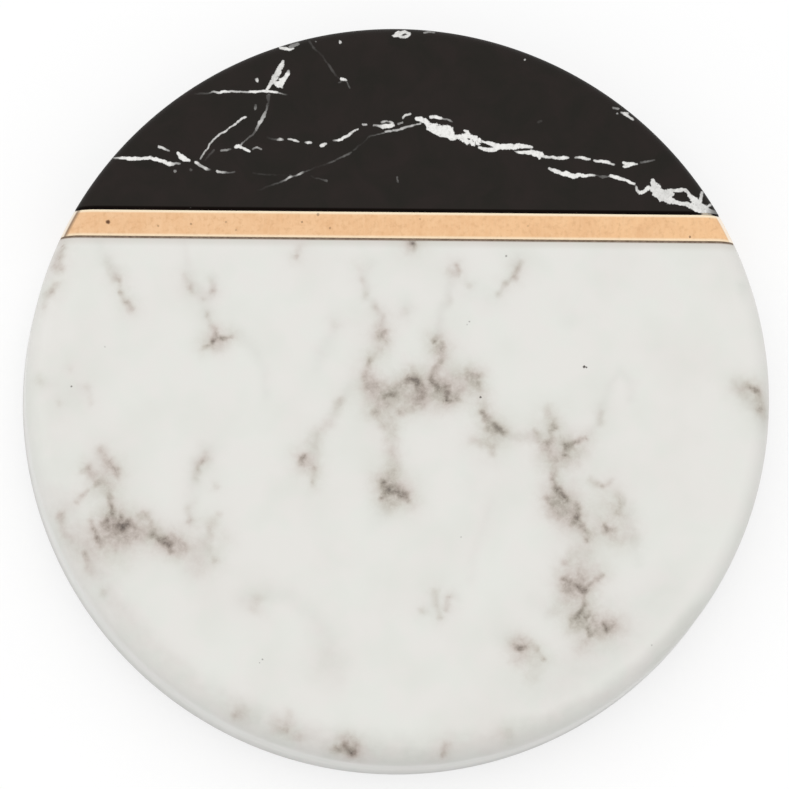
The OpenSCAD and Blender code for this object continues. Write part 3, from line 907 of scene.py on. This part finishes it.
def srgb(r, g, b):
    """A colour written as it shows on a screen, from 0 to 255, as a linear one."""
    shares = [c / 255 for c in (r, g, b)]
    return (*[s / 12.92 if s <= 0.04045 else ((s + 0.055) / 1.055) ** 2.4 for s in shares], 1)


class Tree:
    """The nodes of a material or of the world, with short ways to add them."""

    def __init__(self, owner):
        owner.use_nodes = True
        self.owner = owner
        self.nodes = owner.node_tree.nodes
        self.links = owner.node_tree.links
        self.shader = self.nodes.get("Principled BSDF")
        self.texture = self.add("ShaderNodeTexCoord").outputs
        self.place = self.texture["Object"]

    def feed(self, socket, value):
        """Links a socket to another one, or sets its value."""
        if isinstance(value, bpy.types.NodeSocket):
            self.links.new(value, socket)
        else:
            socket.default_value = value

    def set(self, name, value):
        """Sets or links an input of the material's shader."""
        self.feed(self.shader.inputs[name], value)

    def add(self, kind, inputs=None, **settings):
        """A new node. Its inputs are given by their names or numbers."""
        node = self.nodes.new(kind)
        for key, value in settings.items():
            setattr(node, key, value)
        for key, value in (inputs or {}).items():
            self.feed(node.inputs[key], value)
        return node

    def math(self, operation, a, b, clamp=False):
        return self.add("ShaderNodeMath", {0: a, 1: b}, operation=operation, use_clamp=clamp).outputs[0]

    def times(self, a, b, clamp=False):
        return self.math("MULTIPLY", a, b, clamp)

    def plus(self, a, b, clamp=False):
        return self.math("ADD", a, b, clamp)

    def vector(self, operation, a, b=(0, 0, 0), output="Vector"):
        return self.add("ShaderNodeVectorMath", {0: a, 1: b}, operation=operation).outputs[output]

    def split(self, vector):
        return self.add("ShaderNodeSeparateXYZ", {"Vector": vector}).outputs

    def noise(self, size, detail=3, rough=0.5, twist=0, place=None):
        inputs = {"Vector": place or self.place, "Scale": 1 / size, "Detail": detail}
        inputs.update({"Roughness": rough, "Distortion": twist})
        return self.add("ShaderNodeTexNoise", inputs).outputs["Fac"]

    def spread(self, value, low, high, to_low=0, to_high=1, smooth=False):
        """A value that runs from low to high, as one from to_low to to_high."""
        inputs = {"Value": value, "From Min": low, "From Max": high, "To Min": to_low, "To Max": to_high}
        kind = "SMOOTHSTEP" if smooth else "LINEAR"
        return self.add("ShaderNodeMapRange", inputs, interpolation_type=kind).outputs["Result"]

    def vary(self, noise, low, high):
        """Noise as a value from low to high."""
        return self.spread(noise, NOISE_LOW, NOISE_HIGH, low, high)

    def mix(self, share, a, b, blend="MIX"):
        """A colour between a and b."""
        inputs = {"Factor": share, 6: a, 7: b}
        return self.add("ShaderNodeMix", inputs, data_type="RGBA", blend_type=blend).outputs[2]

    def blend(self, share, a, b):
        """A number between a and b."""
        inputs = {"Factor": share, 2: a, 3: b}
        return self.add("ShaderNodeMix", inputs, data_type="FLOAT").outputs[0]

    def ramp(self, value, stops):
        """The colour that the stops, (place, colour), give to a value."""
        node = self.add("ShaderNodeValToRGB", {"Fac": value})
        while len(node.color_ramp.elements) < len(stops):
            node.color_ramp.elements.new(0.5)
        for element, (position, colour) in zip(node.color_ramp.elements, stops):
            element.position, element.color = position, colour
        return node.outputs["Color"]

    def attribute(self, name):
        return self.add("ShaderNodeAttribute", attribute_name=name).outputs["Fac"]

    def bump(self, height, reach):
        bumped = self.add("ShaderNodeBump", {"Height": height, "Distance": reach})
        self.set("Normal", bumped.outputs["Normal"])

    def rag(self, size, reach):
        """Makes the outlines of spots ragged: their distance is read at places pushed about by noise."""
        shift = self.add("ShaderNodeTexNoise", {"Vector": self.place, "Scale": 1 / size, "Detail": 2})
        centred = self.vector("SUBTRACT", shift.outputs["Color"], (0.5,) * 3)
        self.ragged = self.vector("ADD", self.place, self.vector("MULTIPLY", centred, (reach,) * 3))

    def spots(self, marks):
        """A mask of round marks on the top face: (x, y, radius, strength), in the photograph's pixels."""
        mask = 0.0
        for x, y, radius, strength in marks:
            away = self.vector("DISTANCE", self.ragged, (*on_top(x, y), DISC_TOP), "Value")
            outer, inner = radius * PIXEL * SPOT_OUTER, radius * PIXEL * SPOT_INNER
            mask = self.math("MAXIMUM", mask, self.spread(away, outer, inner, 0, strength, True))
        return mask

    def underside(self):
        """1 on the underside of the disc and 0 above its bottom rim."""
        flat = DISC_BOTTOM + 0.05 * MM
        return self.spread(self.split(self.place)["Z"], flat, DISC_BOTTOM + BOTTOM_ROUND, 1, 0)

    def saw_marks(self):
        """Fine straight grooves, as sawing and grinding leave them."""
        return self.noise(SAW_SIZE, 3, 0.6, place=self.vector("MULTIPLY", self.place, (SAW_STRETCH, 1, 1)))


def surface(name):
    """The nodes of a new material."""
    return Tree(bpy.data.materials.new(name))


def stone_finish(t, polish, sawn, relief, dips):
    """A stone's polish, between two roughnesses, and its relief. Underneath it is rough and grooved."""
    under = t.underside()
    polished = t.vary(t.noise(2 * MM, 4, 0.6), *polish)
    t.set("Roughness", t.blend(under, polished, sawn))
    height = t.plus(relief, t.times(t.saw_marks(), under))
    t.bump(t.math("SUBTRACT", height, dips), 0.02 * MM)


# White marble from clean stone to the heart of a cloud, and the faint pinkish and greenish casts in it
WHITE_STOPS = [
    (0.0, srgb(232, 232, 228)),
    (0.10, srgb(221, 219, 214)),
    (0.30, srgb(202, 196, 190)),
    (0.55, srgb(166, 158, 150)),
    (0.80, srgb(124, 116, 109)),
    (1.0, srgb(84, 77, 71)),
]
WHITE_CAST = [(0.4, (1.0, 0.984, 0.976, 1)), (0.62, (0.988, 0.996, 0.978, 1))]
CLOUD_CAST = [(0.42, (1.0, 0.98, 0.968, 1)), (0.58, (0.99, 0.992, 0.962, 1))]
# The colour of the smoke and of the painted rim shade
SMOKE_AND_RIM_SHADE_STOPS = [(0.42, srgb(112, 78, 66)), (0.6, srgb(96, 90, 78))]
PIN_TONE = srgb(66, 58, 52)
# How far the glue has soaked into the white stone, faintly and strongly, and how dark
SOAK_WIDE, SOAK_WIDE_TONE = 1.3 * MM, 0.13
SOAK_NARROW, SOAK_NARROW_TONE = 0.18 * MM, 0.25
# How high the painted shade near the floor reaches above the underside, and what it leaves of the colour
# there
BOTTOM_SHADE_HEIGHT, BOTTOM_SHADE_TONE = 6 * MM, 0.68
DRIFT_TONE = 0.035
PIN_DEPTH = 2.0
WHITE_POLISH, WHITE_SAWN = (0.3, 0.4), 0.62


def white_marble():
    """White stone with grey-brown clouds and smoke, a band of painted shade along the near rim, painted
    shade towards the underside, dark pins, and edges that have soaked up glue.
    """
    t = surface("white_marble")
    t.rag(0.4 * MM, 0.25 * MM)
    cloudy = t.noise(0.8 * MM, 4, 0.6, 0.4)
    grain = t.noise(0.3 * MM, 3, 0.6)
    hue = t.noise(4 * MM, 2, 0.5)
    place = t.split(t.place)
    stain = t.times(t.attribute("stain"), t.vary(cloudy, 0.68, 1.3))
    stain = t.times(stain, t.vary(grain, 0.92, 1.08))
    drift = t.spread(t.noise(8 * MM, 2, 0.5), 0.42, 0.7, 0, DRIFT_TONE)
    wide = t.spread(place["Y"], WHITE_EDGE - SOAK_WIDE, WHITE_EDGE, 0, SOAK_WIDE_TONE, True)
    narrow = t.spread(place["Y"], WHITE_EDGE - SOAK_NARROW, WHITE_EDGE, 0, SOAK_NARROW_TONE, True)
    stain = t.plus(stain, t.plus(drift, t.plus(wide, narrow)), True)
    colour = t.ramp(stain, WHITE_STOPS)
    colour = t.mix(1.0, colour, t.ramp(hue, WHITE_CAST), "MULTIPLY")
    colour = t.mix(t.spread(stain, 0.03, 0.35), colour, t.ramp(hue, CLOUD_CAST), "MULTIPLY")
    # Painted shade: the stone is darkened towards its underside, where the floor's contact shadow falls
    bottom_shade = t.spread(place["Z"], DISC_BOTTOM, DISC_BOTTOM + BOTTOM_SHADE_HEIGHT, BOTTOM_SHADE_TONE, 1)
    colour = t.mix(1.0, colour, bottom_shade, "MULTIPLY")
    # Smoke, and the painted shade along the near rim
    smoke_and_rim_shade = t.times(t.attribute("smoke_and_rim_shade"), t.vary(t.noise(1.6 * MM, 3, 0.5), 0.75, 1.2))
    colour = t.mix(smoke_and_rim_shade, colour, t.ramp(hue, SMOKE_AND_RIM_SHADE_STOPS))
    pins = t.spots(WHITE_PINS)
    t.set("Base Color", t.mix(pins, colour, PIN_TONE))
    stone_finish(t, WHITE_POLISH, WHITE_SAWN, t.times(grain, 0.12), t.times(pins, PIN_DEPTH))
    return t.owner


BLACK_STOPS = [(0.35, srgb(41, 39, 36)), (0.65, srgb(46, 41, 39))]
BLACK_BLOOM = srgb(52, 47, 43)
CRYSTAL_STOPS = [(0.3, srgb(214, 213, 209)), (0.52, srgb(245, 244, 241))]
BLACK_GLOSS = 0.02
BLACK_POLISH, BLACK_SAWN = (0.34, 0.44), 0.66
# The line along the cut that the glue has soaked: where it is full and where it ends
SOAKED_TONE = srgb(10, 4, 2)
SOAKED_FULL, SOAKED_END = 0.1 * MM, 0.3 * MM
# The whiteness of a vein is read from the screen, and mixed as light. It is full at WHITEST percent
WHITEST = 97
SCREEN_GAMMA = 2
# How ragged the outlines of the widest veins are, the half width in pixels from which they are so, and the
# share of it that the finest have
VEIN_RAG = 0.11 * MM
RAGGED_WIDTH = 4
LEAST_RAG = 0.2
# Over what depth the edge of a vein is soft
VEIN_OUTSIDE, VEIN_INSIDE = -0.06 * MM, 0.07 * MM


def black_marble():
    """Black stone with ragged veins of white crystals."""
    t = surface("black_marble")
    fine = t.noise(0.18 * MM, 3, 0.6)
    coarse = t.noise(0.5 * MM, 3, 0.55)
    ragged = t.plus(t.vary(fine, -0.8, 0.8), t.vary(coarse, -1.2, 1.2))
    ragged = t.times(ragged, t.times(t.attribute("rag"), VEIN_RAG))
    depth = t.plus(t.attribute("calcite"), ragged)
    veins = t.spread(depth, VEIN_OUTSIDE, VEIN_INSIDE, 0, 1, True)
    veins = t.times(veins, t.times(t.attribute("whiteness"), t.vary(coarse, 0.9, 1.1), True))
    body = t.ramp(t.noise(5 * MM, 4, 0.6, 0.6), BLACK_STOPS)
    body = t.mix(t.spread(fine, 0.55, 0.8, 0, 0.2), body, BLACK_BLOOM)
    across = t.split(t.place)["Y"]
    soaked = t.spread(across, BLACK_EDGE + SOAKED_END, BLACK_EDGE + SOAKED_FULL, 0, 0.9)
    body = t.mix(soaked, body, SOAKED_TONE)
    t.set("Base Color", t.mix(veins, body, t.ramp(t.noise(0.45 * MM, 4, 0.7, 0.6), CRYSTAL_STOPS)))
    t.set("Specular IOR Level", BLACK_GLOSS)
    stone_finish(t, BLACK_POLISH, BLACK_SAWN, t.times(fine, 0.15), t.times(veins, 0.4))
    return t.owner


BRASS_LEFT, BRASS_RIGHT = srgb(242, 200, 158), srgb(246, 201, 153)
BRASS_MOTTLE = srgb(235, 188, 142)
BRASS_SPECK = srgb(212, 165, 120)
BRASS_BRUSHED = srgb(250, 214, 172)
# Painted highlight along the strip's edges
BRASS_EDGE_HIGHLIGHT = srgb(255, 243, 216)
# Painted highlight at the strip's ends
BRASS_END_HIGHLIGHT = srgb(255, 244, 228)
# Painted shade at the strip's ends
BRASS_END_SHADE = srgb(142, 118, 98)
BRASS_MARK = srgb(84, 52, 36)
# How wide the painted highlight at the ends of the strip is, outside a line of painted shade
END_HIGHLIGHT_WIDTH = 0.36 * MM
BRASS_MARK_DEPTH = 3


def brass_edge_highlights(t, y):
    """The painted highlights along the two edges of the strip."""
    rear = t.spread(y, STRIP_REAR - 0.5 * MM, STRIP_REAR - 0.2 * MM, 0, 0.8, True)
    front = t.spread(y, STRIP_FRONT + 0.5 * MM, STRIP_FRONT + 0.14 * MM, 0, 0.6, True)
    return t.math("MAXIMUM", rear, front)


def brass_ends(t, place, colour):
    """The colour with painted shade at the ends of the strip, strongest at the left end, and outside that
    line a painted highlight.
    """
    reach = t.vector("LENGTH", t.vector("MULTIPLY", t.place, (1, 1, 0)), output="Value")
    left = t.spread(place["X"], 0, -1 * MM, 0.25, 0.85)
    end = t.spread(reach, DISC_R - 2.4 * END_HIGHLIGHT_WIDTH, DISC_R - 1.4 * END_HIGHLIGHT_WIDTH)
    # Painted shade at both ends of the strip, strongest at the left end
    colour = t.mix(t.times(left, end), colour, BRASS_END_SHADE)
    # Painted highlight at the ends, wider at the right and only over the rounded rim
    reach = t.plus(reach, t.spread(place["X"], 0, DISC_R, 0, END_HIGHLIGHT_WIDTH))
    end_highlight = t.spread(reach, DISC_R - 1.2 * END_HIGHLIGHT_WIDTH, DISC_R - 0.7 * END_HIGHLIGHT_WIDTH, 0, 0.9)
    upper = t.spread(place["Z"], DISC_TOP - 1.6 * TOP_ROUND, DISC_TOP - TOP_ROUND)
    return t.mix(t.times(end_highlight, upper), colour, BRASS_END_HIGHLIGHT)


def satin_brass():
    """Mottled and finely brushed brass, with marks, painted highlights along the edges and at the ends, and
    painted shade at the ends.
    """
    t = surface("satin_brass")
    t.rag(0.3 * MM, 0.18 * MM)
    mottle = t.noise(2.6 * MM, 5, 0.6, 0.6)
    specks = t.noise(0.7 * MM, 4, 0.6, 0.3)
    grain = t.noise(0.2 * MM, 4, 0.7)
    brushed = t.noise(0.35 * MM, 3, 0.6, place=t.vector("MULTIPLY", t.place, (1, 0.2, 1)))
    place = t.split(t.place)
    colour = t.mix(t.spread(place["X"], -DISC_R, DISC_R), BRASS_LEFT, BRASS_RIGHT)
    colour = t.mix(t.spread(mottle, 0.42, 0.68, 0, 0.8), colour, BRASS_MOTTLE)
    colour = t.mix(t.spread(specks, 0.5, 0.75, 0, 0.55), colour, BRASS_SPECK)
    colour = t.mix(t.spread(brushed, 0.45, 0.75, 0, 0.3), colour, BRASS_BRUSHED)
    # Painted highlights along the strip's edges
    colour = t.mix(brass_edge_highlights(t, place["Y"]), colour, BRASS_EDGE_HIGHLIGHT)
    colour = brass_ends(t, place, colour)
    marks = t.spots(BRASS_MARKS)
    t.set("Base Color", t.mix(marks, colour, BRASS_MARK))
    t.set("Metallic", 1)
    t.set("Roughness", t.vary(grain, 0.34, 0.5))
    height = t.plus(t.times(grain, 0.5), t.times(brushed, 0.6))
    t.bump(t.math("SUBTRACT", height, t.times(marks, BRASS_MARK_DEPTH)), 0.008 * MM)
    return t.owner


FRONT_GLUE_LIGHT, FRONT_GLUE_DARK = srgb(150, 132, 116), srgb(110, 92, 76)
REAR_GLUE_LIGHT, REAR_GLUE_DARK = srgb(14, 6, 3), srgb(6, 2, 1)
MILKY_TONE = srgb(214, 203, 184)


def glue(name, light, dark, milky=()):
    """A glue line, which is milky where it lies against a vein."""
    t = surface(name)
    t.rag(0.3 * MM, 0.1 * MM)
    bits = t.noise(0.5 * MM, 4, 0.6)
    colour = t.mix(t.vary(bits, 0, 1), light, dark)
    t.set("Base Color", t.mix(t.spots(milky), colour, MILKY_TONE))
    t.set("Roughness", t.vary(bits, 0.4, 0.65))
    t.set("Specular IOR Level", 0.05)
    t.bump(bits, 0.02 * MM)
    return t.owner


FELT_STOPS = [(0.3, srgb(150, 143, 130)), (0.7, srgb(214, 208, 195))]
FELT_CLUMP = srgb(186, 179, 165)


def felt():
    """Pale felt: fibres, some of them in clumps."""
    t = surface("felt")
    fibres = t.noise(0.16 * MM, 5, 0.75, 2.5)
    clumps = t.noise(1.1 * MM, 4, 0.6, 0.4)
    colour = t.mix(t.spread(clumps, 0.4, 0.7, 0, 0.35), t.ramp(fibres, FELT_STOPS), FELT_CLUMP)
    t.set("Base Color", colour)
    t.set("Roughness", 0.95)
    t.set("Specular IOR Level", 0.1)
    t.set("Sheen Weight", 0.25)
    t.bump(t.plus(fibres, clumps), 0.12 * MM)
    return t.owner


FILM_STOPS = [(0.3, srgb(226, 221, 205)), (0.7, srgb(243, 240, 230))]


def adhesive_film():
    t = surface("adhesive_film")
    haze = t.noise(0.8 * MM, 4, 0.6)
    t.set("Base Color", t.ramp(haze, FILM_STOPS))
    t.set("Roughness", t.vary(haze, 0.25, 0.5))
    t.bump(haze, 0.01 * MM)
    return t.owner


# Pieces

def add_white_marble():
    mesh = segment_mesh("white_marble", WHITE_EDGE, False, WHITE_CELL, RIM_CELL)
    x, y = warped(*pattern_place(points_of(mesh)), WHITE_WARP)
    set_attribute(mesh, "stain", cloud_darkness(x, y, WHITE_CLOUDS))
    # Smoke and the painted rim shade, thinned out near the underside
    above = np.clip((points_of(mesh)[:, 2] - DISC_BOTTOM) / SMOKE_AND_SHADE_FLOOR, 0, 1)
    set_attribute(mesh, "smoke_and_rim_shade", smoke_and_rim_shade_darkness(x, y, WHITE_SMOKE_AND_RIM_SHADE) * above)
    add_piece("white_marble", mesh, white_marble(), "white_marble_segment")


def add_black_marble():
    mesh = segment_mesh("black_marble", BLACK_EDGE, True, BLACK_CELL, BLACK_RIM_CELL)
    x, y = warped(*pattern_place(points_of(mesh)), BLACK_WARP)
    depth, whiteness, width = vein_depth(x, y, BLACK_VEINS)
    holes = vein_depth(x, y, BLACK_HOLES)[0]
    set_attribute(mesh, "calcite", np.minimum(depth, -holes))
    set_attribute(mesh, "whiteness", np.minimum(whiteness / WHITEST, 1) ** SCREEN_GAMMA)
    set_attribute(mesh, "rag", np.clip(width / RAGGED_WIDTH, LEAST_RAG, 1))
    add_piece("black_marble", mesh, black_marble(), "black_marble_segment")


def add_brass():
    """The strip, with a fine round along its edges."""
    eased = [0, 0.1, 0.3, 0.6, 1]
    drop = [BRASS_EDGE * (1 - math.sqrt(1 - (1 - s) ** 2)) for s in eased]
    flat_width = STRIP_REAR - STRIP_FRONT - 2 * BRASS_EDGE
    inner = round(flat_width / STRIP_CELL)
    flat = [STRIP_FRONT + BRASS_EDGE + flat_width * i / inner for i in range(1, inner)]
    front = [STRIP_FRONT + BRASS_EDGE * s for s in eased]
    rear = [STRIP_REAR - BRASS_EDGE * s for s in eased[::-1]]
    mesh = slice_mesh("brass_inlay", [*front, *flat, *rear], [*drop, *[0] * len(flat), *drop[::-1]])
    add_piece("brass_inlay", mesh, satin_brass(), "brass_strip")


def add_glue(name, low, high, material, node):
    """A glue line, whose skin sinks a little between its neighbours, and most in its middle."""
    shares = [0, 0.25, 0.5, 0.75, 1]
    sinks = [GLUE_SINK * (0.5 + 0.5 * 4 * s * (1 - s)) for s in shares]
    mesh = slice_mesh(name, [low + (high - low) * s for s in shares], sinks)
    add_piece(name, mesh, material, node)


# Tufts of fibre: (share, size, step from the pad's seed), and how much faster they change downwards
TUFTS = [(0.6, 0.5 * MM, 0), (0.4, 0.22 * MM, 7)]
TUFT_DROP = 3
PAD_SEEDS = {"right": 3, "rear": 13, "left": 23, "front": 33}


def tufts(x, y, seed):
    """Random waves from -1 to 1 at the size of tufts of fibre."""
    return sum(share * waves(x, y, size, seed + step) for share, size, step in TUFTS)


def pad_section(radius, low, high):
    """(radius, height, outward share, upward share) from the middle of a pad's top to that of its foot."""
    flat = [(radius - PAD_EDGE) * i / PAD_RINGS for i in range(1, PAD_RINGS + 1)]
    section = [(r, high, 0, 1) for r in flat]
    for level, up in ((high, 1), (low, -1)):
        for i in range(PAD_STEPS + 1):
            a = QUARTER * (PAD_STEPS - i if up > 0 else i) / PAD_STEPS
            r = radius - PAD_EDGE * (1 - math.cos(a))
            section.append((r, level - up * PAD_EDGE * (1 - math.sin(a)), math.cos(a), up * math.sin(a)))
    return section + [(r, low, 0, -1) for r in flat[::-1]]


def pad_mesh(name, node, seed):
    """A felt disc with soft edges and a fuzzy skin, flat where it stands."""
    low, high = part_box(node)
    centre = (low + high) / 2
    section = pad_section((high.x - low.x) / 2, low.z, high.z)
    turn = np.arange(PAD_SPOKES) * 2 * math.pi / PAD_SPOKES
    vertices = [(centre.x, centre.y, high.z)]
    for r, z, out_r, out_z in section:
        push = PAD_FUZZ * tufts(r * np.cos(turn), r * np.sin(turn) + z * TUFT_DROP, seed)
        x = centre.x + (r + push * out_r) * np.cos(turn)
        y = centre.y + (r + push * out_r) * np.sin(turn)
        vertices += zip(x, y, np.clip(z + push * out_z, low.z, high.z))
    vertices.append((centre.x, centre.y, low.z))
    faces = []
    for i in range(PAD_SPOKES):
        k = (i + 1) % PAD_SPOKES
        faces.append((0, 1 + i, 1 + k))
        for row in range(len(section) - 1):
            a = 1 + row * PAD_SPOKES
            faces.append((a + i, a + PAD_SPOKES + i, a + PAD_SPOKES + k, a + k))
        a = 1 + (len(section) - 1) * PAD_SPOKES
        faces.append((a + i, len(vertices) - 1, a + k))
    return make_mesh(name, vertices, faces)


def add_feet():
    cloth, film = felt(), adhesive_film()
    for side, seed in PAD_SEEDS.items():
        mesh = pad_mesh("felt_" + side, "felt_pad_" + side, seed)
        pad = add_piece("felt_" + side, mesh, cloth, "felt_pad_" + side)
        for material_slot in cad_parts["pad_adhesive_" + side].material_slots:
            material_slot.material = film


# The room

FLOOR_SIZE = 6
# What the floor throws back onto the coaster, and what it is where it is seen: shade, and a glow up to white
FLOOR_BOUNCE = 0.82
FLOOR_SHADE = 0.3
FLOOR_GLOW = 0.72
# The soft light of the studio at the horizon and overhead, and what the two side panels add
SKY_LOW = 0.05
SKY_HIGH = 0.84
SIDE_LIGHT = 0.8
SIDE_AZIMUTH = math.radians(20)
SUN_LIGHT = 0.7
SUN_TILT = math.radians(30)
SUN_AZIMUTH = math.radians(115)
SUN_SOFTNESS = math.radians(60)


def seen_directly(t):
    """1 for rays that show the background: from the camera, in a mirror or through glass."""
    path = t.add("ShaderNodeLightPath").outputs
    shown = t.math("MAXIMUM", path["Is Camera Ray"], path["Is Glossy Ray"])
    return t.math("MAXIMUM", shown, path["Is Transmission Ray"])


def add_world():
    """Soft light from overhead and from two sides, and plain white where it is seen."""
    world = bpy.data.worlds.new("studio")
    bpy.context.scene.world = world
    t = Tree(world)
    towards = t.texture["Generated"]
    across = t.vector("DOT_PRODUCT", towards, direction(QUARTER, SIDE_AZIMUTH), "Value")
    sides = t.times(t.times(across, across), SIDE_LIGHT)
    light = t.plus(t.spread(t.split(towards)["Z"], 0, 1, SKY_LOW, SKY_HIGH), sides)
    background = t.nodes["Background"]
    t.feed(background.inputs["Color"], WHITE)
    t.feed(background.inputs["Strength"], t.blend(seen_directly(t), light, 1.0))


def add_floor():
    """The floor, white where it is seen but for the coaster's faint shadow."""
    half = FLOOR_SIZE / 2
    corners = [(-half, -half, 0), (half, -half, 0), (half, half, 0), (-half, half, 0)]
    mesh = make_mesh("floor", corners, [(0, 1, 2, 3)])
    t = surface("floor")
    seen = seen_directly(t)
    t.set("Base Color", t.blend(seen, FLOOR_BOUNCE, FLOOR_SHADE))
    t.set("Roughness", 0.9)
    t.set("Specular IOR Level", 0)
    t.set("Emission Color", WHITE)
    t.set("Emission Strength", t.times(seen, FLOOR_GLOW))
    mesh.materials.append(t.owner)
    add_object("floor", mesh)


def add_sun():
    data = bpy.data.lights.new("key", "SUN")
    data.energy = SUN_LIGHT
    data.angle = SUN_SOFTNESS
    sun = add_object("key", data)
    sun.rotation_euler = direction(SUN_TILT, SUN_AZIMUTH).to_track_quat("Z", "Y").to_euler()
    sun.visible_glossy = False


bpy.context.scene.view_settings.view_transform = "Standard"
add_camera()
add_world()
add_floor()
add_sun()
add_white_marble()
add_black_marble()
add_brass()
front_glue = glue("front_glue", FRONT_GLUE_LIGHT, FRONT_GLUE_DARK)
rear_glue = glue("rear_glue", REAR_GLUE_LIGHT, REAR_GLUE_DARK, MILKY_GLUE)
add_glue("front_glue", WHITE_EDGE, STRIP_FRONT, front_glue, "front_epoxy_joint")
add_glue("rear_glue", STRIP_REAR, BLACK_EDGE, rear_glue, "rear_epoxy_joint")
add_feet()
